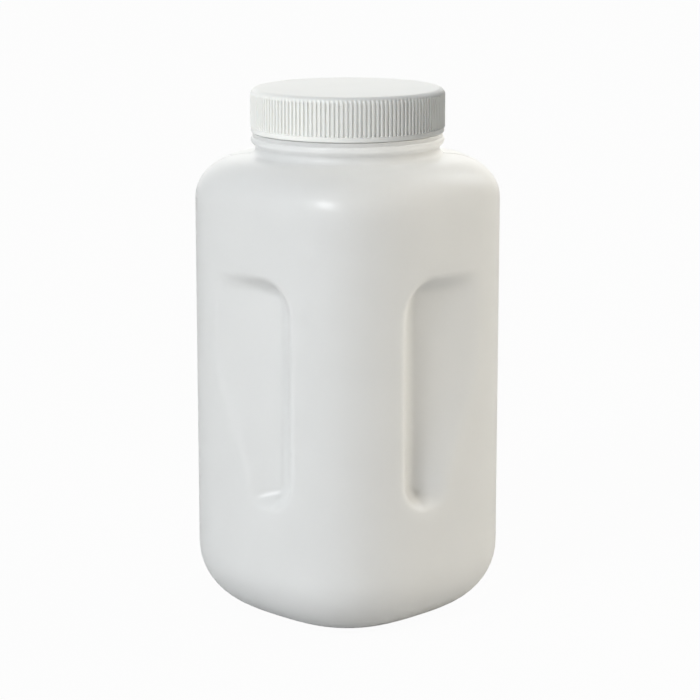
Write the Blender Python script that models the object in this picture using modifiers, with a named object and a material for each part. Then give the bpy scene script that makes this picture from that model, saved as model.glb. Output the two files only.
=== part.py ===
"""Square wide-mouth bottle of natural plastic with finger grips, and its ribbed screw cap.

Metres, +Z up. The origin is the centre of the base and the four faces look along X and Y.
The corners at (+X, -Y) and (-X, +Y) are the grip corners: a finger recess lies beside each of
them on both of its faces, steep towards the corner and running out gently the other way.
"""

import math

import bmesh
import bpy

MM = 0.001

# Body: a square of four crowned faces, half as wide as this, whose corners are full and round
HALF_WIDTH = 74.05 * MM
SQUARENESS = 2.9
WALL = 1.8 * MM

# Base and heel
HEEL_HEIGHT = 35.4 * MM
HEEL_INSET = 33.7 * MM
STANDING_RING = 5.0 * MM
PUSH_UP = 4.0 * MM
PUSH_UP_SLOPE = 9.0 * MM

# Shoulder
SHOULDER_START = 228.0 * MM
SHOULDER_HEIGHT = 24.0 * MM
SHOULDER_RADIUS = 53.0 * MM

# Neck: the waist over the shoulder, the bead, and the plain finish inside the cap
WAIST_RADIUS = 49.6 * MM
WAIST_HEIGHT = 255.6 * MM
BEAD_RADIUS = 52.1 * MM
BEAD_HEIGHT = 259.4 * MM
BEAD_HALF_THICKNESS = 2.2 * MM
COLLAR_RADIUS = 51.2 * MM
FINISH_RADIUS = 49.9 * MM
CAP_CLEARANCE = 0.3 * MM

# Cap
CAP_TOP = 287.7 * MM
CAP_HEIGHT = 23.5 * MM
CAP_RADIUS = 52.5 * MM
CAP_TOP_THICKNESS = 2.2 * MM
CAP_BORE_RADIUS = 50.6 * MM
CAP_EDGE = 3.8 * MM
CAP_BAND_HEIGHT = 2.7 * MM
CAP_BAND_RADIUS = 52.1 * MM
RIBS = 138
RIB_DEPTH = 0.9 * MM

# Finger recess, in a face's own width (from its middle, away from the grip corner) and height
RECESS_EDGE = -29.5 * MM
RECESS_BOTTOM = 70.5 * MM
RECESS_TOP = 193.5 * MM
RECESS_DEPTH = 10.0 * MM
RECESS_WALL = 15.0 * MM
RECESS_LOW_CORNER = 15.0 * MM
RECESS_HIGH_CORNER = 20.0 * MM
RAMP_END_LOW = 0.0 * MM
RAMP_END_HIGH = 28.0 * MM
RAMP_LOW = 75.0 * MM
RAMP_HIGH = 155.0 * MM

# Steps that the surface is divided into
CORNER_STEPS = 4
RECESS_WALL_STEPS = 3
RAMP_STEPS = 4
HEEL_STEPS = 5
SHOULDER_STEPS = 5
RECESS_END_STEPS = 4

NATURAL_PLASTIC = (0.80, 0.81, 0.80, 1.0)
WHITE_PLASTIC = (0.88, 0.88, 0.86, 1.0)


def steps(start, end, count):
    """The values after start, up to end, in equal steps."""
    return [start + (end - start) * i / count for i in range(1, count + 1)]


def squared_radius(azimuth, half):
    """Radius of the rounded square of that half width."""
    across = abs(math.cos(azimuth)) ** SQUARENESS + abs(math.sin(azimuth)) ** SQUARENESS
    return half * across ** (-1 / SQUARENESS)


def face_angle(across):
    """Angle from a face's normal to the point of the wall that lies this far from its middle."""
    out = (HALF_WIDTH ** SQUARENESS - abs(across) ** SQUARENESS) ** (1 / SQUARENESS)
    return math.atan2(across, out)


def column_azimuths():
    """Directions of the wall's columns, closest where the recess is steep."""
    corner = math.pi / 4
    deepest = RECESS_EDGE + RECESS_WALL
    face = [-corner]
    face += steps(-corner, face_angle(RECESS_EDGE), CORNER_STEPS)
    face += [face_angle(across) for across in steps(RECESS_EDGE, deepest, RECESS_WALL_STEPS)]
    face += [face_angle(across) for across in steps(deepest, RAMP_END_HIGH, RAMP_STEPS)]
    face += steps(face_angle(RAMP_END_HIGH), corner, CORNER_STEPS)
    azimuths = []
    for turn in (0, math.pi):
        azimuths += [turn + angle for angle in face[:-1]]
        azimuths += [turn + 2 * corner - angle for angle in reversed(face[1:])]
    return azimuths


def distance_inside(across, height):
    """Distance from the recess's steep side and ends, whose corners are round."""
    side = across - RECESS_EDGE
    low = height - RECESS_BOTTOM
    high = RECESS_TOP - height
    nearest = min(side, low, high)
    for end, radius in ((low, RECESS_LOW_CORNER), (high, RECESS_HIGH_CORNER)):
        if side < radius and end < radius:
            nearest = min(nearest, radius - math.hypot(radius - side, radius - end))
    return nearest


def recess_depth(across, height):
    """How deep the finger recess is at a point of a face."""
    inside = distance_inside(across, height)
    if inside <= 0:
        return 0.0
    sunk = 1 - (1 - min(inside / RECESS_WALL, 1)) ** 2
    rise = min(max((height - RAMP_LOW) / (RAMP_HIGH - RAMP_LOW), 0), 1)
    ramp_end = RAMP_END_LOW + (RAMP_END_HIGH - RAMP_END_LOW) * rise
    deepest = RECESS_EDGE + RECESS_WALL
    run = min(max((across - deepest) / (ramp_end - deepest), 0), 1)
    return RECESS_DEPTH * sunk * (1 - run)


def wall_point(azimuth, radius, height):
    """A point of the wall, pushed in along its face's normal where the recess is."""
    face = round(azimuth / (math.pi / 2))
    normal = face * math.pi / 2
    away = 1 if face % 2 == 0 else -1
    across = away * radius * math.sin(azimuth - normal)
    depth = recess_depth(across, height)
    x = radius * math.cos(azimuth) - depth * math.cos(normal)
    y = radius * math.sin(azimuth) - depth * math.sin(normal)
    return x, y, height


def body_rings(azimuths):
    """The rounded square's rings, from the base's middle up to the end of the shoulder."""
    base_half = HALF_WIDTH - HEEL_INSET
    rows = [
        (base_half - STANDING_RING - PUSH_UP_SLOPE, PUSH_UP),
        (base_half - STANDING_RING, 0.0),
        (base_half, 0.0),
    ]
    for turn in steps(0, math.pi / 2, HEEL_STEPS):
        inset = HEEL_INSET * (1 - math.sin(turn))
        rows.append((HALF_WIDTH - inset, HEEL_HEIGHT * (1 - math.cos(turn))))
    recess_low = RECESS_BOTTOM + RECESS_WALL
    recess_high = RECESS_TOP - RECESS_HIGH_CORNER
    heights = [RECESS_BOTTOM]
    heights += steps(RECESS_BOTTOM, recess_low, RECESS_END_STEPS)
    heights += steps(recess_low, recess_high, RECESS_END_STEPS)
    heights += steps(recess_high, RECESS_TOP, RECESS_END_STEPS)
    heights.append(SHOULDER_START)
    rows += [(HALF_WIDTH, height) for height in heights]
    rings = []
    for half, height in rows:
        rings.append([wall_point(a, squared_radius(a, half), height) for a in azimuths])
    for turn in steps(0, math.pi / 2, SHOULDER_STEPS):
        height = SHOULDER_START + SHOULDER_HEIGHT * math.sin(turn)
        ring = []
        for azimuth in azimuths:
            spread = squared_radius(azimuth, HALF_WIDTH) - SHOULDER_RADIUS
            ring.append(wall_point(azimuth, SHOULDER_RADIUS + spread * math.cos(turn), height))
        rings.append(ring)
    return rings


def circle(radius, height, azimuths):
    return [(radius * math.cos(a), radius * math.sin(a), height) for a in azimuths]


def neck_rings(azimuths):
    """The round rings of the neck, up to the rim."""
    cap_bottom = CAP_TOP - CAP_HEIGHT
    rim = CAP_TOP - CAP_TOP_THICKNESS - CAP_CLEARANCE
    profile = [
        (WAIST_RADIUS, WAIST_HEIGHT),
        (BEAD_RADIUS, BEAD_HEIGHT - BEAD_HALF_THICKNESS / 2),
        (BEAD_RADIUS, BEAD_HEIGHT + BEAD_HALF_THICKNESS / 2),
        (COLLAR_RADIUS, BEAD_HEIGHT + BEAD_HALF_THICKNESS),
        (FINISH_RADIUS, cap_bottom - CAP_CLEARANCE),
        (FINISH_RADIUS, rim),
    ]
    return [circle(radius, height, azimuths) for radius, height in profile]


def cap_rings():
    """The cap's rings: down its bore, out under its skirt, and up over the ribs to its top."""
    azimuths = [math.pi * i / RIBS for i in range(2 * RIBS)]
    bottom = CAP_TOP - CAP_HEIGHT
    band_top = bottom + CAP_BAND_HEIGHT
    rib_top = CAP_TOP - CAP_EDGE
    edge_45 = CAP_EDGE * (1 - math.sin(math.pi / 4))

    def ribbed(height):
        ring = []
        for i, azimuth in enumerate(azimuths):
            radius = CAP_RADIUS - RIB_DEPTH * (i % 2)
            ring.append((radius * math.cos(azimuth), radius * math.sin(azimuth), height))
        return ring

    return [
        circle(CAP_BORE_RADIUS, CAP_TOP - CAP_TOP_THICKNESS, azimuths),
        circle(CAP_BORE_RADIUS, bottom, azimuths),
        circle(CAP_BAND_RADIUS, bottom, azimuths),
        circle(CAP_BAND_RADIUS, band_top - RIB_DEPTH / 2, azimuths),
        ribbed(band_top),
        ribbed(rib_top),
        circle(CAP_RADIUS - edge_45, CAP_TOP - edge_45, azimuths),
        circle(CAP_RADIUS - CAP_EDGE, CAP_TOP, azimuths),
    ]


def lofted(name, rings, start, end=None):
    """Skins the rings in their order and closes each end that is given a middle point."""
    shape = bmesh.new()
    loops = [[shape.verts.new(point) for point in ring] for ring in rings]
    count = len(loops[0])
    for before, after in zip(loops, loops[1:]):
        for i in range(count):
            j = (i + 1) % count
            shape.faces.new((before[i], before[j], after[j], after[i]))
    middle = shape.verts.new(start)
    for i in range(count):
        shape.faces.new((middle, loops[0][(i + 1) % count], loops[0][i]))
    if end:
        middle = shape.verts.new(end)
        for i in range(count):
            shape.faces.new((middle, loops[-1][i], loops[-1][(i + 1) % count]))
    bmesh.ops.triangulate(shape, faces=shape.faces[:])
    mesh = bpy.data.meshes.new(name)
    shape.to_mesh(mesh)
    shape.free()
    mesh.shade_smooth()
    mesh.set_sharp_from_angle(angle=math.radians(40))
    return bpy.data.objects.new(name, mesh)


def plastic(name, colour, roughness):
    material = bpy.data.materials.new(name)
    material.use_nodes = True
    shader = material.node_tree.nodes["Principled BSDF"]
    shader.inputs["Base Color"].default_value = colour
    shader.inputs["Roughness"].default_value = roughness
    shader.inputs["Metallic"].default_value = 0.0
    return material


def make_bottle():
    """The hollow body, one blown skin from the base to the rim, thickened inwards."""
    azimuths = column_azimuths()
    rings = body_rings(azimuths) + neck_rings(azimuths)
    bottle = lofted("bottle", rings, start=(0, 0, PUSH_UP))
    skin = bottle.modifiers.new("Wall", "SOLIDIFY")
    skin.thickness = WALL
    skin.offset = -1
    bottle.data.materials.append(plastic("natural plastic", NATURAL_PLASTIC, 0.4))
    return bottle


def make_cap():
    """The screw cap: a plain top, a ribbed skirt and a plain band at its lower edge."""
    under_top = (0, 0, CAP_TOP - CAP_TOP_THICKNESS)
    cap = lofted("cap", cap_rings(), start=under_top, end=(0, 0, CAP_TOP))
    cap.data.materials.append(plastic("white plastic", WHITE_PLASTIC, 0.35))
    return cap


def main():
    for item in list(bpy.data.objects):
        bpy.data.objects.remove(item)
    collection = bpy.data.collections.new("Square wide-mouth bottle")
    bpy.context.scene.collection.children.link(collection)
    for item in (make_bottle(), make_cap()):
        collection.objects.link(item)


main()
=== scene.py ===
"""Looks of the square wide-mouth bottle: a milky blown body with finger grips and a ribbed white cap.

Metres, +Z up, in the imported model's frame. The four faces look along X and Y. The grip corners are
at (+X, -Y) and (-X, +Y), and the camera looks at the first of them.
"""

import math

import bpy
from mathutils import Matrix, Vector


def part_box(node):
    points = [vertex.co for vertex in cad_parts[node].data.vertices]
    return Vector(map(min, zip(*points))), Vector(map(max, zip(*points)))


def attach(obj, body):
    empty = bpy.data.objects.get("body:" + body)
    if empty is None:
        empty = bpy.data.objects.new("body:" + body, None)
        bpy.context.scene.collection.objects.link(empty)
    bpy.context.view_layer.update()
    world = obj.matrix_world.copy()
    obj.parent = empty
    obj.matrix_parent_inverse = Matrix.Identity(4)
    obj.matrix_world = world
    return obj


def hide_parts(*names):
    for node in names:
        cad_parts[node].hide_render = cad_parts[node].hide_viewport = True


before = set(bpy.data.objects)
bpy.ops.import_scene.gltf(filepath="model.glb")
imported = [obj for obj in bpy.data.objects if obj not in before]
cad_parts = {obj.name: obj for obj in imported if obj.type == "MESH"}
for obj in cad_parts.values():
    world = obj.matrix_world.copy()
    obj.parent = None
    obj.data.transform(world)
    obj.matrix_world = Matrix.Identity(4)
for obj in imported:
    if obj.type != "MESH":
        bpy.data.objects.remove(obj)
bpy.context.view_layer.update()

MM = 0.001

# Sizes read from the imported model
HALF_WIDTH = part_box("bottle")[1].x
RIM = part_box("bottle")[1].z
CAP_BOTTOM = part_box("cap")[0].z
CAP_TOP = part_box("cap")[1].z
CAP_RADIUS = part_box("cap")[1].x

# Meshes: points closer than this are one, and a fold sharper than these angles shows as an edge
MERGE_DISTANCE = 0.001 * MM
BODY_SHARP_EDGE = math.radians(40)
CAP_SHARP_EDGE = math.radians(60)

# Body, whose outline is a superellipse, and the bevel profile that draws one of that squareness
SQUARENESS = 2.9
CORNER_PROFILE = 0.5 ** (2 / SQUARENESS)
CORNER_SEGMENTS = 96
WALL = 1.8 * MM

# Base and heel
HEEL_HEIGHT = 35.4 * MM
HEEL_INSET = 33.7 * MM
HEEL_RINGS = 14
STANDING_RING = 5.0 * MM

# Slope of the pushed-up base, step by step inwards: rise and width
PUSH_UP_SLOPE = (
    (0.6 * MM, 1.5 * MM),
    (1.2 * MM, 2.0 * MM),
    (1.2 * MM, 2.5 * MM),
    (0.6 * MM, 2.0 * MM),
    (0.4 * MM, 6.0 * MM),
)

# Shoulder and neck
SHOULDER_START = 228.0 * MM
SHOULDER_HEIGHT = 24.0 * MM
SHOULDER_TOP = SHOULDER_START + SHOULDER_HEIGHT
SHOULDER_RADIUS = 53.0 * MM
SHOULDER_RINGS = 16
WAIST_RADIUS = 49.6 * MM
WAIST_HEIGHT = 255.6 * MM
WAIST_RINGS = 5
BEAD_RADIUS = 52.1 * MM
BEAD_HEIGHT = 259.4 * MM
BEAD_RINGS = 8
CAP_GAP = 0.35 * MM
COLLAR_RADIUS = 51.2 * MM
COLLAR_RISE = 2.2 * MM
COLLAR_CHAMFER = 0.3 * MM
COLLAR_TOP = CAP_BOTTOM - CAP_GAP
COLLAR_RINGS = 5
FINISH_RADIUS = 49.9 * MM
FINISH_RINGS = 4

# Parting seam of the mould, up the two corners that carry no grip
SEAM_HEIGHT = 0.16 * MM
SEAM_PULL = 0.65 * MM
SEAM_FOOT = 1.5 * MM
SEAM_HEAD = COLLAR_TOP - 0.5 * MM
SEAM_LINE = 0.01 * MM

# The column of points beside the seam's own, counted in columns from the corner
BESIDE_FROM = 0.2
BESIDE_TO = 1.5

# Finger recess, in a face's own width (from its middle, away from the grip corner) and height
RECESS_EDGE = -29.5 * MM
RECESS_BOTTOM = 70.5 * MM
RECESS_TOP = 193.5 * MM
RECESS_DEPTH = 10.0 * MM
RECESS_WALL = 15.0 * MM
RECESS_END_WALL = 9.5 * MM
RECESS_LOW_CORNER = 15.0 * MM
RECESS_HIGH_CORNER = 20.0 * MM
RECESS_LIP = 2.4 * MM
RAMP_END_LOW = 0.0 * MM
RAMP_END_HIGH = 28.0 * MM
RAMP_LOW = 75.0 * MM
RAMP_HIGH = 155.0 * MM
RAMP_BLEND = 4.0 * MM

# Rings of the upright wall, closer at the recess's ends: how high each stretch goes, and its rings
WALL_STRETCHES = (
    (RECESS_BOTTOM - RECESS_LIP, 5),
    (RECESS_BOTTOM + RECESS_WALL, 11),
    (RECESS_TOP - RECESS_HIGH_CORNER, 22),
    (RECESS_TOP + RECESS_LIP, 14),
    (SHOULDER_START, 5),
)

# Cap
CAP_BORE_RADIUS = 50.6 * MM
CAP_BORE_SKIN = 0.2 * MM
CAP_UNDER_TOP = CAP_TOP - 2.2 * MM
CAP_LIP = 0.5 * MM
CAP_LIP_RINGS = 3
CAP_EDGE = 3.8 * MM
CAP_EDGE_RINGS = 9
CAP_BAND_TOP = CAP_BOTTOM + 2.7 * MM
CAP_BAND_RADIUS = 52.1 * MM

# Ribs: the crest's start and its flank are shares of half a pitch, from the groove's middle
RIBS = 138
RIB_SEGMENTS = 10
RIB_RINGS = 4
RIB_DEPTH = 1.35 * MM
RIB_CREST_START = 0.6
RIB_FLANK = 0.2
RIB_RUN_IN = 0.5 * MM
RIB_HEAD = CAP_TOP - 1.6 * MM

# Step from the plain band out to the ribs: height above the band's top, and radius
BAND_STEP = (
    (-0.3 * MM, CAP_BAND_RADIUS),
    (0.0 * MM, CAP_RADIUS - 0.1 * MM),
    (0.25 * MM, CAP_RADIUS),
    (RIB_RUN_IN, CAP_RADIUS),
)

# Undyed polyethylene of the body: its two tones, its skin, how far light goes in, and its gloss
NATURAL_DIM = (0.845, 0.85, 0.845)
NATURAL_BRIGHT = (0.9, 0.905, 0.9)
NATURAL_SKIN = {
    "Grain Size": 0.7 * MM,
    "Grain Depth": 0.006 * MM,
    "Wave Size": 38 * MM,
    "Wave Depth": 0.25 * MM,
    "Roughness": 0.5,
    "Roughness Spread": 0.12,
}
NATURAL_MILKINESS = 1.0
NATURAL_LIGHT_DEPTH = 6.0 * MM
NATURAL_LIGHT_COLOUR = (1.0, 1.0, 1.0)
NATURAL_GLOSS = 0.75
NATURAL_GLOSS_ROUGHNESS = 0.3

# White polypropylene of the cap, a little warm
WHITE_DIM = (0.88, 0.88, 0.86)
WHITE_BRIGHT = (0.91, 0.91, 0.89)
WHITE_SKIN = {
    "Grain Size": 0.5 * MM,
    "Grain Depth": 0.008 * MM,
    "Wave Size": 24 * MM,
    "Wave Depth": 0.06 * MM,
    "Roughness": 0.36,
    "Roughness Spread": 0.1,
}
WHITE_MILKINESS = 0.2
WHITE_LIGHT_DEPTH = 0.6 * MM
WHITE_LIGHT_COLOUR = (1.0, 0.9, 0.8)

# Camera: the photograph's, which looks at the grip corner from a little above
PHOTO_WIDTH = 700
FOCAL_PIXELS = 2551.7
AIM_HEIGHT = 143.0 * MM
AIM_PIXEL = (347.64, 350.13)
CAMERA_DISTANCE = 1.4023
CAMERA_AZIMUTH = math.radians(45.0)
CAMERA_ELEVATION = math.radians(12.09)
SENSOR_WIDTH = 36.0

# Studio lamps: degrees right of the camera and up, spread, strength, colour, in gloss, off the cap
LAMPS = (
    ("lamp_key", -34, 34, 13, 1.0, (0.98, 1.0, 1.01), True, False),
    ("lamp_left", -62, 25, 35, 0.58, (0.92, 1.0, 1.04), False, False),
    ("lamp_front", 12, 30, 50, 0.4, (1.01, 1.0, 0.98), False, True),
    ("lamp_right", 86, 16, 60, 2.0, (1.07, 1.0, 0.85), False, True),
    ("lamp_rim", 122, 8, 40, 0.6, (1.02, 1.0, 0.93), False, False),
    ("lamp_back_right", 124, 32, 24, 0.32, (0.95, 1.0, 1.05), True, False),
)

# Softbox: degrees to the right and up, distance, width, height, watts and colour
SOFTBOX = (-42, 18, 3.0, 4.6, 2.0, 48.0, (0.99, 1.0, 1.0))

# Studio card, a soft white board behind the bottle: degrees to the right and up
CARD_WAY = (180, 16)
CARD_GLOW = (1.75, 1.75, 1.7)
CARD_FOCUS = 4.0

# Floor and background
FLOOR_SIZE = 12.0
FLOOR_COLOUR = (0.5, 0.5, 0.5)
FLOOR_ROUGHNESS = 0.9
FLOOR_GLOW = 0.96
BACKGROUND_WHITE = (1.0, 1.0, 1.0, 1.0)

# How often light bounces, and how often off matt surfaces
BOUNCES = 8
DIFFUSE_BOUNCES = 5


def steps(start, end, count):
    """The values after start, up to end, in equal steps."""
    return [start + (end - start) * i / count for i in range(1, count + 1)]


def quarter_turn(count):
    """The angles after zero, up to a right angle, in equal steps."""
    return steps(0, math.pi / 2, count)


def share_of(value, start, end):
    """How far the value is from start to end, from 0 to 1."""
    return min(max((value - start) / (end - start), 0), 1)


def deselect_all():
    bpy.ops.object.select_all(action="DESELECT")


def edit():
    bpy.ops.object.mode_set(mode="EDIT")


def leave_edit():
    bpy.ops.object.mode_set(mode="OBJECT")


def apply_modifier(piece, kind, **settings):
    modifier = piece.modifiers.new(kind.title(), kind)
    for name, value in settings.items():
        setattr(modifier, name, value)
    bpy.ops.object.modifier_apply(modifier=modifier.name)


class Ring:
    """The selected ring of the mesh in edit mode, drawn upwards step by step."""

    def __init__(self, height, radius, squareness):
        self.height = height
        self.radius = radius
        self.squareness = squareness

    def draw_to(self, height, radius, squareness=0):
        """Extrudes the ring to a height, a mean radius, and a share of the square outline."""
        rise = height - self.height
        bpy.ops.mesh.extrude_region_move(TRANSFORM_OT_translate={"value": (0, 0, rise)})
        if self.squareness > 0 and squareness < self.squareness:
            bpy.ops.transform.tosphere(value=1 - squareness / self.squareness)
        ratio = radius / self.radius
        bpy.ops.transform.resize(value=(ratio, ratio, 1), center_override=(0, 0, height))
        self.height = height
        self.radius = radius
        self.squareness = squareness


def press(piece, name, axis, depth, share_at):
    """Moves the surface along an axis by a depth times the share that each point gives."""
    group = piece.vertex_groups.new(name=name)
    for vertex in piece.data.vertices:
        share = share_at(vertex.co)
        if share > 0:
            group.add([vertex.index], share, "REPLACE")
    apply_modifier(
        piece, "DISPLACE", direction=axis, strength=depth, mid_level=0, vertex_group=name
    )
    piece.vertex_groups.remove(piece.vertex_groups[name])


def finish_surface(piece, sharp_edge):
    """Recalculates the normals outwards and shades the piece smooth between its sharp edges."""
    edit()
    bpy.ops.mesh.select_all(action="SELECT")
    bpy.ops.mesh.remove_doubles(threshold=MERGE_DISTANCE)
    bpy.ops.mesh.normals_make_consistent(inside=False)
    leave_edit()
    bpy.ops.object.shade_smooth_by_angle(angle=sharp_edge)


def wall_at(across, height):
    """Distance from the recess's outline, whose corners are round, and how wide the wall is there."""
    side = across - RECESS_EDGE
    low = height - RECESS_BOTTOM
    high = RECESS_TOP - height
    end, radius = (low, RECESS_LOW_CORNER) if low < high else (high, RECESS_HIGH_CORNER)
    if end >= radius:
        return min(side, end), RECESS_WALL
    if side >= radius:
        return end, RECESS_END_WALL
    reach = math.hypot(radius - side, radius - end)
    turn = (radius - end) ** 2 / reach**2
    return radius - reach, RECESS_WALL + (RECESS_END_WALL - RECESS_WALL) * turn


def eased_to_zero(value, blend):
    """The value, or nothing below zero, with the corner between the two rounded."""
    if value <= -blend:
        return 0.0
    if value < blend:
        return (value + blend) ** 2 / (4 * blend)
    return value


def recess_share(across, height):
    """How far the finger recess sinks here, as a share of its full depth."""
    inside, wall = wall_at(across, height)
    inside = eased_to_zero(inside, RECESS_LIP)
    sunk = 1 - (1 - min(inside / wall, 1)) ** 2
    rise = share_of(height, RAMP_LOW, RAMP_HIGH)
    eased_rise = rise * rise * (3 - 2 * rise)
    ramp_end = RAMP_END_LOW + (RAMP_END_HIGH - RAMP_END_LOW) * eased_rise
    deepest = RECESS_EDGE + RECESS_WALL
    left = eased_to_zero(ramp_end - max(across, deepest), RAMP_BLEND)
    return sunk * min(left / (ramp_end - deepest), 1)


def outline_mean(piece):
    """Mean radius of the ring of vertices that the piece has."""
    lengths = [vertex.co.xy.length for vertex in piece.data.vertices]
    return sum(lengths) / len(lengths)


def draw_heel_and_wall(ring, mean_per_half):
    """The rounded heel and the upright wall, on the full square outline."""
    for turn in quarter_turn(HEEL_RINGS):
        half = HALF_WIDTH - HEEL_INSET * (1 - math.sin(turn))
        height = HEEL_HEIGHT * (1 - math.cos(turn))
        ring.draw_to(height, mean_per_half * half, 1)
    start = HEEL_HEIGHT
    for end, rings in WALL_STRETCHES:
        for height in steps(start, end, rings):
            ring.draw_to(height, mean_per_half * HALF_WIDTH, 1)
        start = end


def draw_shoulder(ring, mean_per_half):
    """Turns the square outline into the neck's circle over a quarter of an ellipse."""
    square = mean_per_half * HALF_WIDTH
    for turn in quarter_turn(SHOULDER_RINGS):
        share = math.cos(turn)
        if share * square < MERGE_DISTANCE:
            share = 0.0
        mean = share * square + (1 - share) * SHOULDER_RADIUS
        height = SHOULDER_START + SHOULDER_HEIGHT * math.sin(turn)
        ring.draw_to(height, mean, share * square / mean)


def draw_neck(ring):
    """The waist, the round bead, the collar under the cap and the plain finish inside it."""
    for turn in quarter_turn(WAIST_RINGS):
        radius = SHOULDER_RADIUS - (SHOULDER_RADIUS - WAIST_RADIUS) * math.sin(turn)
        height = SHOULDER_TOP + (WAIST_HEIGHT - SHOULDER_TOP) * (1 - math.cos(turn))
        ring.draw_to(height, radius)
    for turn in steps(-math.pi / 2, math.pi / 2, BEAD_RINGS):
        radius = WAIST_RADIUS + (BEAD_RADIUS - WAIST_RADIUS) * (1 + math.sin(turn)) / 2
        share = (turn + math.pi / 2) / math.pi
        ring.draw_to(WAIST_HEIGHT + (BEAD_HEIGHT - WAIST_HEIGHT) * share, radius)
    for turn in quarter_turn(COLLAR_RINGS):
        radius = COLLAR_RADIUS + (BEAD_RADIUS - COLLAR_RADIUS) * math.cos(turn)
        ring.draw_to(BEAD_HEIGHT + COLLAR_RISE * math.sin(turn), radius)
    ring.draw_to(COLLAR_TOP - COLLAR_CHAMFER, COLLAR_RADIUS)
    ring.draw_to(COLLAR_TOP, COLLAR_RADIUS - COLLAR_CHAMFER)
    ring.draw_to(COLLAR_TOP, FINISH_RADIUS)
    for height in steps(COLLAR_TOP, RIM, FINISH_RINGS):
        ring.draw_to(height, FINISH_RADIUS)


def push_up_base(piece):
    """Insets the base face, first for the flat standing ring and then down the push-up's slope."""
    bpy.ops.mesh.select_all(action="DESELECT")
    leave_edit()
    base = min(piece.data.polygons, key=lambda face: face.center.z)
    base.select = True
    edit()
    bpy.ops.mesh.select_mode(type="FACE")
    bpy.ops.mesh.inset(thickness=STANDING_RING)
    for rise, width in PUSH_UP_SLOPE:
        bpy.ops.mesh.inset(thickness=width)
        bpy.ops.transform.translate(value=(0, 0, rise))


def raise_seam(piece):
    """The parting line up the two plain corners: the columns beside it drawn close, and the line raised."""
    column_turn = 2 * math.pi / (4 * CORNER_SEGMENTS)
    step = SEAM_PULL / math.sqrt(2)
    edit()
    bpy.ops.mesh.select_mode(type="VERT")
    for sign in (1, -1):
        for side in (1, -1):
            bpy.ops.mesh.select_all(action="DESELECT")
            leave_edit()
            for vertex in piece.data.vertices:
                turn = math.atan2(sign * vertex.co.y, sign * vertex.co.x) - math.pi / 4
                beside = BESIDE_FROM < side * turn / column_turn < BESIDE_TO
                vertex.select = beside and vertex.co.z > SEAM_FOOT
            edit()
            bpy.ops.transform.translate(value=(side * sign * step, -side * sign * step, 0))
    leave_edit()

    def share_at(point):
        on_line = abs(point.x - point.y) < SEAM_LINE
        return 1.0 if on_line and SEAM_FOOT < point.z < SEAM_HEAD else 0.0

    press(piece, "seam", "NORMAL", SEAM_HEIGHT, share_at)


def press_recess(piece, name, axis, sign):
    """Sinks the finger recess into the face that looks along the axis, on the sign's side."""

    def share_at(point):
        out, along = (point.x, point.y) if axis == "X" else (point.y, point.x)
        if out * sign < abs(along):
            return 0.0
        return recess_share(along * sign, point.z)

    press(piece, name, axis, -sign * RECESS_DEPTH, share_at)


def make_bottle():
    """The blown body: a square with full corners, drawn up ring by ring into heel, wall and neck."""
    deselect_all()
    base_half = HALF_WIDTH - HEEL_INSET
    bpy.ops.mesh.primitive_plane_add(size=2 * base_half)
    piece = bpy.context.object
    piece.name = "blown_body"
    edit()
    bpy.ops.mesh.bevel(
        affect="VERTICES",
        offset=base_half,
        segments=CORNER_SEGMENTS,
        profile=CORNER_PROFILE,
        clamp_overlap=False,
    )
    bpy.ops.mesh.select_all(action="SELECT")
    bpy.ops.mesh.remove_doubles(threshold=MERGE_DISTANCE)
    leave_edit()
    mean_per_half = outline_mean(piece) / base_half
    edit()
    ring = Ring(0, mean_per_half * base_half, 1)
    draw_heel_and_wall(ring, mean_per_half)
    draw_shoulder(ring, mean_per_half)
    draw_neck(ring)
    bpy.ops.mesh.delete(type="ONLY_FACE")
    push_up_base(piece)
    leave_edit()
    finish_surface(piece, BODY_SHARP_EDGE)
    raise_seam(piece)
    for axis in "XY":
        for sign in (1, -1):
            press_recess(piece, f"{axis}_{sign}", axis, sign)
    apply_modifier(piece, "SOLIDIFY", thickness=WALL, offset=-1)
    finish_surface(piece, BODY_SHARP_EDGE)
    return piece


def groove_share(point):
    """How deep the groove between two ribs is here, as a share of its full depth."""
    if point.xy.length < CAP_BORE_RADIUS + CAP_BORE_SKIN:
        return 0.0
    turn = math.atan2(point.y, point.x) / (2 * math.pi) * RIBS
    phase = abs(turn - round(turn)) * 2
    across = share_of(phase, RIB_CREST_START, RIB_CREST_START - RIB_FLANK)
    low = share_of(point.z, CAP_BAND_TOP, CAP_BAND_TOP + RIB_RUN_IN)
    high = share_of(point.z, RIB_HEAD, CAP_TOP - CAP_EDGE)
    return across * low * high


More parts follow.
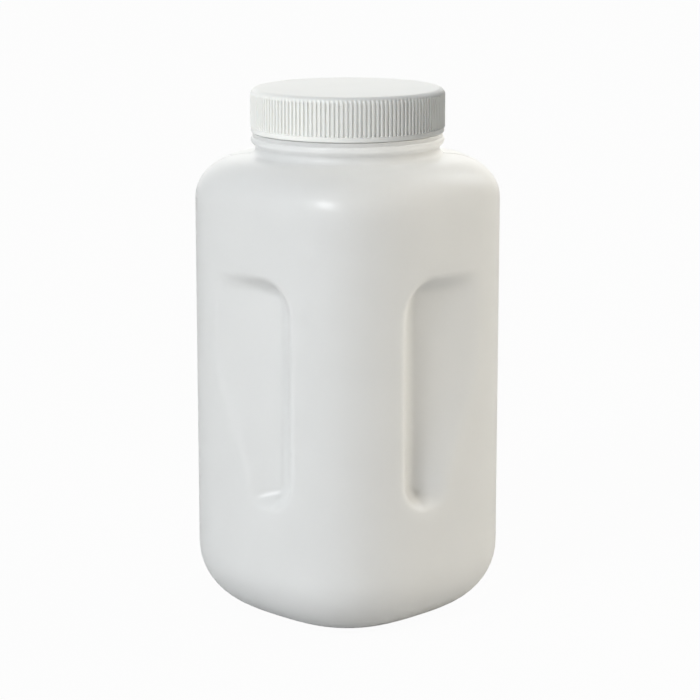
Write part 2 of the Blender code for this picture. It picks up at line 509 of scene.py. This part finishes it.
def make_cap():
    """The screw cap: a closed shell drawn from its bore round the skirt to its plain top."""
    deselect_all()
    bpy.ops.mesh.primitive_circle_add(
        vertices=RIBS * RIB_SEGMENTS,
        radius=CAP_BORE_RADIUS,
        fill_type="NGON",
        location=(0, 0, CAP_UNDER_TOP),
    )
    piece = bpy.context.object
    piece.name = "ribbed_cap"
    bpy.ops.object.transform_apply(location=True)
    edit()
    bpy.ops.mesh.select_all(action="SELECT")
    ring = Ring(CAP_UNDER_TOP, CAP_BORE_RADIUS, 0)
    ring.draw_to(CAP_BOTTOM + CAP_LIP, CAP_BORE_RADIUS)
    for turn in quarter_turn(CAP_LIP_RINGS):
        radius = CAP_BORE_RADIUS + CAP_LIP * (1 - math.cos(turn))
        ring.draw_to(CAP_BOTTOM + CAP_LIP * (1 - math.sin(turn)), radius)
    for turn in quarter_turn(CAP_LIP_RINGS):
        radius = CAP_BAND_RADIUS - CAP_LIP * (1 - math.sin(turn))
        ring.draw_to(CAP_BOTTOM + CAP_LIP * (1 - math.cos(turn)), radius)
    for height, radius in BAND_STEP:
        ring.draw_to(CAP_BAND_TOP + height, radius)
    for height in steps(CAP_BAND_TOP + RIB_RUN_IN, CAP_TOP - CAP_EDGE, RIB_RINGS):
        ring.draw_to(height, CAP_RADIUS)
    for turn in quarter_turn(CAP_EDGE_RINGS):
        radius = CAP_RADIUS - CAP_EDGE * (1 - math.cos(turn))
        ring.draw_to(CAP_TOP - CAP_EDGE * (1 - math.sin(turn)), radius)
    leave_edit()
    finish_surface(piece, BODY_SHARP_EDGE)
    press(piece, "grooves", "NORMAL", -RIB_DEPTH, groove_share)
    finish_surface(piece, CAP_SHARP_EDGE)
    return piece


def new_group(name, inputs, outputs):
    """An empty shader node group; inputs are (name, kind, default) and outputs (name, kind)."""
    group = bpy.data.node_groups.new(name, "ShaderNodeTree")
    for label, kind, default in inputs:
        socket = group.interface.new_socket(label, in_out="INPUT", socket_type=kind)
        socket.default_value = default
    for label, kind in outputs:
        group.interface.new_socket(label, in_out="OUTPUT", socket_type=kind)
    return group, group.nodes.new("NodeGroupInput"), group.nodes.new("NodeGroupOutput")


def satin_skin_group():
    """The skin of a moulded plastic: a fine grain in the gloss and relief, over a broad unevenness."""
    group, given, result = new_group(
        "satin_skin",
        (
            ("Grain Size", "NodeSocketFloat", 0.6 * MM),
            ("Grain Depth", "NodeSocketFloat", 0.01 * MM),
            ("Wave Size", "NodeSocketFloat", 30 * MM),
            ("Wave Depth", "NodeSocketFloat", 0.1 * MM),
            ("Roughness", "NodeSocketFloat", 0.5),
            ("Roughness Spread", "NodeSocketFloat", 0.05),
        ),
        (
            ("Roughness", "NodeSocketFloat"),
            ("Normal", "NodeSocketVector"),
            ("Cloud", "NodeSocketFloat"),
        ),
    )
    nodes, links = group.nodes, group.links
    place = nodes.new("ShaderNodeTexCoord")

    def noise(size_input, detail):
        scale = nodes.new("ShaderNodeMath")
        scale.operation = "DIVIDE"
        scale.inputs[0].default_value = 1.0
        links.new(given.outputs[size_input], scale.inputs[1])
        texture = nodes.new("ShaderNodeTexNoise")
        texture.inputs["Detail"].default_value = detail
        links.new(place.outputs["Object"], texture.inputs["Vector"])
        links.new(scale.outputs["Value"], texture.inputs["Scale"])
        return texture

    def raise_by(texture, depth_input, below):
        bump = nodes.new("ShaderNodeBump")
        bump.inputs["Strength"].default_value = 1.0
        links.new(given.outputs[depth_input], bump.inputs["Distance"])
        links.new(texture.outputs["Fac"], bump.inputs["Height"])
        if below:
            links.new(below.outputs["Normal"], bump.inputs["Normal"])
        return bump

    grain = noise("Grain Size", 3.0)
    wave = noise("Wave Size", 1.0)
    waves = raise_by(wave, "Wave Depth", None)
    skin = raise_by(grain, "Grain Depth", waves)
    middle = nodes.new("ShaderNodeMath")
    middle.operation = "SUBTRACT"
    middle.inputs[1].default_value = 0.5
    spread = nodes.new("ShaderNodeMath")
    spread.operation = "MULTIPLY_ADD"
    links.new(grain.outputs["Fac"], middle.inputs[0])
    links.new(middle.outputs["Value"], spread.inputs[0])
    links.new(given.outputs["Roughness Spread"], spread.inputs[1])
    links.new(given.outputs["Roughness"], spread.inputs[2])
    links.new(spread.outputs["Value"], result.inputs["Roughness"])
    links.new(skin.outputs["Normal"], result.inputs["Normal"])
    links.new(wave.outputs["Fac"], result.inputs["Cloud"])
    return group


def new_material(name, colour, roughness):
    material = bpy.data.materials.new(name)
    material.use_nodes = True
    shader = material.node_tree.nodes["Principled BSDF"]
    shader.inputs["Base Color"].default_value = (*colour, 1)
    shader.inputs["Roughness"].default_value = roughness
    return material, shader


def skinned_material(name, skin, values, dim, bright):
    """A plastic under the satin skin, whose colour drifts between two tones."""
    material, shader = new_material(name, bright, values["Roughness"])
    nodes, links = material.node_tree.nodes, material.node_tree.links
    surface = nodes.new("ShaderNodeGroup")
    surface.node_tree = skin
    for label, value in values.items():
        surface.inputs[label].default_value = value
    tone = nodes.new("ShaderNodeMix")
    tone.data_type = "RGBA"
    tone.inputs["A"].default_value = (*dim, 1)
    tone.inputs["B"].default_value = (*bright, 1)
    links.new(surface.outputs["Cloud"], tone.inputs["Factor"])
    links.new(tone.outputs["Result"], shader.inputs["Base Color"])
    links.new(surface.outputs["Roughness"], shader.inputs["Roughness"])
    links.new(surface.outputs["Normal"], shader.inputs["Normal"])
    return material, shader


def let_light_in(shader, milkiness, depth, colour):
    """Lets a share of the light into the plastic, so far as the depth and colour say."""
    shader.inputs["Subsurface Weight"].default_value = milkiness
    shader.inputs["Subsurface Radius"].default_value = colour
    shader.inputs["Subsurface Scale"].default_value = depth


def natural_plastic(skin):
    """Undyed polyethylene: milky, passing light from wall to wall, under a satin skin."""
    material, shader = skinned_material(
        "natural_plastic", skin, NATURAL_SKIN, NATURAL_DIM, NATURAL_BRIGHT
    )
    let_light_in(shader, NATURAL_MILKINESS, NATURAL_LIGHT_DEPTH, NATURAL_LIGHT_COLOUR)
    shader.inputs["Coat Weight"].default_value = NATURAL_GLOSS
    shader.inputs["Coat Roughness"].default_value = NATURAL_GLOSS_ROUGHNESS
    return material


def white_plastic(skin):
    """Opaque white polypropylene, into which light goes only just under the surface."""
    material, shader = skinned_material(
        "white_plastic", skin, WHITE_SKIN, WHITE_DIM, WHITE_BRIGHT
    )
    let_light_in(shader, WHITE_MILKINESS, WHITE_LIGHT_DEPTH, WHITE_LIGHT_COLOUR)
    return material


def make_floor():
    """A plain floor that glows white to the camera, so that it runs into the background."""
    deselect_all()
    bpy.ops.mesh.primitive_plane_add(size=FLOOR_SIZE)
    floor = bpy.context.object
    floor.name = "floor"
    material, shader = new_material("floor_white", FLOOR_COLOUR, FLOOR_ROUGHNESS)
    nodes, links = material.node_tree.nodes, material.node_tree.links
    glow = nodes.new("ShaderNodeEmission")
    seen = nodes.new("ShaderNodeLightPath")
    share = nodes.new("ShaderNodeMath")
    share.operation = "MULTIPLY"
    share.inputs[1].default_value = FLOOR_GLOW
    mix = nodes.new("ShaderNodeMixShader")
    links.new(seen.outputs["Is Camera Ray"], share.inputs[0])
    links.new(share.outputs["Value"], mix.inputs["Fac"])
    links.new(shader.outputs["BSDF"], mix.inputs[1])
    links.new(glow.outputs["Emission"], mix.inputs[2])
    links.new(mix.outputs["Shader"], nodes["Material Output"].inputs["Surface"])
    floor.data.materials.append(material)
    return floor


def from_camera(right, towards, up):
    """A place given to the camera's right, towards the camera, and up."""
    across = Vector((math.cos(CAMERA_AZIMUTH), math.sin(CAMERA_AZIMUTH), 0))
    near = Vector((math.sin(CAMERA_AZIMUTH), -math.cos(CAMERA_AZIMUTH), 0))
    return across * right + near * towards + Vector((0, 0, up))


def direction(right, up):
    """The way to a light that is so many degrees right of the camera, seen from the object, and up."""
    turn, rise = math.radians(right), math.radians(up)
    level = math.cos(rise)
    return from_camera(level * math.sin(turn), level * math.cos(turn), math.sin(rise))


def turned_to(way):
    """The rotation of a lamp or camera that stands on this way and looks back along it."""
    return way.to_track_quat("Z", "Y").to_euler()


def add_lamp(name, right, up, spread, strength, colour, shown, lit):
    """A far, wide lamp, for the lit pieces alone if there are any."""
    data = bpy.data.lights.new(name, "SUN")
    data.angle = math.radians(spread)
    data.energy = strength
    data.color = colour
    lamp = bpy.data.objects.new(name, data)
    bpy.context.scene.collection.objects.link(lamp)
    lamp.rotation_euler = turned_to(direction(right, up))
    lamp.visible_glossy = shown
    if lit:
        lamp.light_linking.receiver_collection = lit


def add_softbox(right, up, away, width, height, power, colour):
    """A wide flat lamp that looks at the bottle's middle and doesn't show in gloss."""
    data = bpy.data.lights.new("softbox", "AREA")
    data.shape = "RECTANGLE"
    data.size = width
    data.size_y = height
    data.energy = power
    data.color = colour
    lamp = bpy.data.objects.new("softbox", data)
    bpy.context.scene.collection.objects.link(lamp)
    way = direction(right, up)
    lamp.location = Vector((0, 0, AIM_HEIGHT)) + way * away
    lamp.rotation_euler = turned_to(way)
    lamp.visible_glossy = False


def light_world():
    """A dark room with one soft bright card in it, white where the camera sees it."""
    world = bpy.data.worlds.new("studio")
    bpy.context.scene.world = world
    world.use_nodes = True
    nodes, links = world.node_tree.nodes, world.node_tree.links
    look = nodes.new("ShaderNodeTexCoord")
    facing = nodes.new("ShaderNodeVectorMath")
    facing.operation = "DOT_PRODUCT"
    facing.inputs[1].default_value = direction(*CARD_WAY)
    ahead = nodes.new("ShaderNodeMath")
    ahead.operation = "MAXIMUM"
    ahead.inputs[1].default_value = 0.0
    soft = nodes.new("ShaderNodeMath")
    soft.operation = "POWER"
    soft.inputs[1].default_value = CARD_FOCUS
    card = nodes.new("ShaderNodeVectorMath")
    card.label = "card_back"
    card.operation = "MULTIPLY"
    card.inputs[1].default_value = CARD_GLOW
    room = nodes["Background"]
    ray = nodes.new("ShaderNodeLightPath")
    seen = nodes.new("ShaderNodeBackground")
    seen.inputs["Color"].default_value = BACKGROUND_WHITE
    mix = nodes.new("ShaderNodeMixShader")
    links.new(look.outputs["Generated"], facing.inputs[0])
    links.new(facing.outputs["Value"], ahead.inputs[0])
    links.new(ahead.outputs["Value"], soft.inputs[0])
    links.new(soft.outputs["Value"], card.inputs[0])
    links.new(card.outputs["Vector"], room.inputs["Color"])
    links.new(ray.outputs["Is Camera Ray"], mix.inputs["Fac"])
    links.new(room.outputs["Background"], mix.inputs[1])
    links.new(seen.outputs["Background"], mix.inputs[2])
    links.new(mix.outputs["Shader"], nodes["World Output"].inputs["Surface"])


def light_studio(past_the_flag):
    """The lamps, of which the flagged ones reach only the pieces that are past the flag."""
    lit = bpy.data.collections.new("lit_past_the_flag")
    for piece in past_the_flag:
        lit.objects.link(piece)
    for *lamp, flagged in LAMPS:
        add_lamp(*lamp, lit if flagged else None)
    add_softbox(*SOFTBOX)
    light_world()
    scene = bpy.context.scene
    scene.view_settings.view_transform = "Standard"
    scene.cycles.max_bounces = BOUNCES
    scene.cycles.diffuse_bounces = DIFFUSE_BOUNCES


def place_camera():
    """The photograph's camera, whose middle is a little off the bottle's own."""
    data = bpy.data.cameras.new("photo_camera")
    data.sensor_width = SENSOR_WIDTH
    data.lens = FOCAL_PIXELS * SENSOR_WIDTH / PHOTO_WIDTH
    data.shift_x = (PHOTO_WIDTH / 2 - AIM_PIXEL[0]) / PHOTO_WIDTH
    data.shift_y = (AIM_PIXEL[1] - PHOTO_WIDTH / 2) / PHOTO_WIDTH
    camera = bpy.data.objects.new("photo_camera", data)
    bpy.context.scene.collection.objects.link(camera)
    level = CAMERA_DISTANCE * math.cos(CAMERA_ELEVATION)
    rise = CAMERA_DISTANCE * math.sin(CAMERA_ELEVATION)
    camera.location = from_camera(0, level, AIM_HEIGHT + rise)
    camera.rotation_euler = turned_to(camera.location - Vector((0, 0, AIM_HEIGHT)))
    bpy.context.scene.camera = camera


def main():
    place_camera()
    floor = make_floor()
    bottle = make_bottle()
    skin = satin_skin_group()
    bottle.data.materials.append(natural_plastic(skin))
    cap = make_cap()
    cap.data.materials.append(white_plastic(skin))
    light_studio((floor, bottle))
    for piece, node, slot in (
        (bottle, "bottle", "natural_plastic"),
        (cap, "cap", "white_plastic"),
    ):
        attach(piece, "root")
        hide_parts(node)


main()
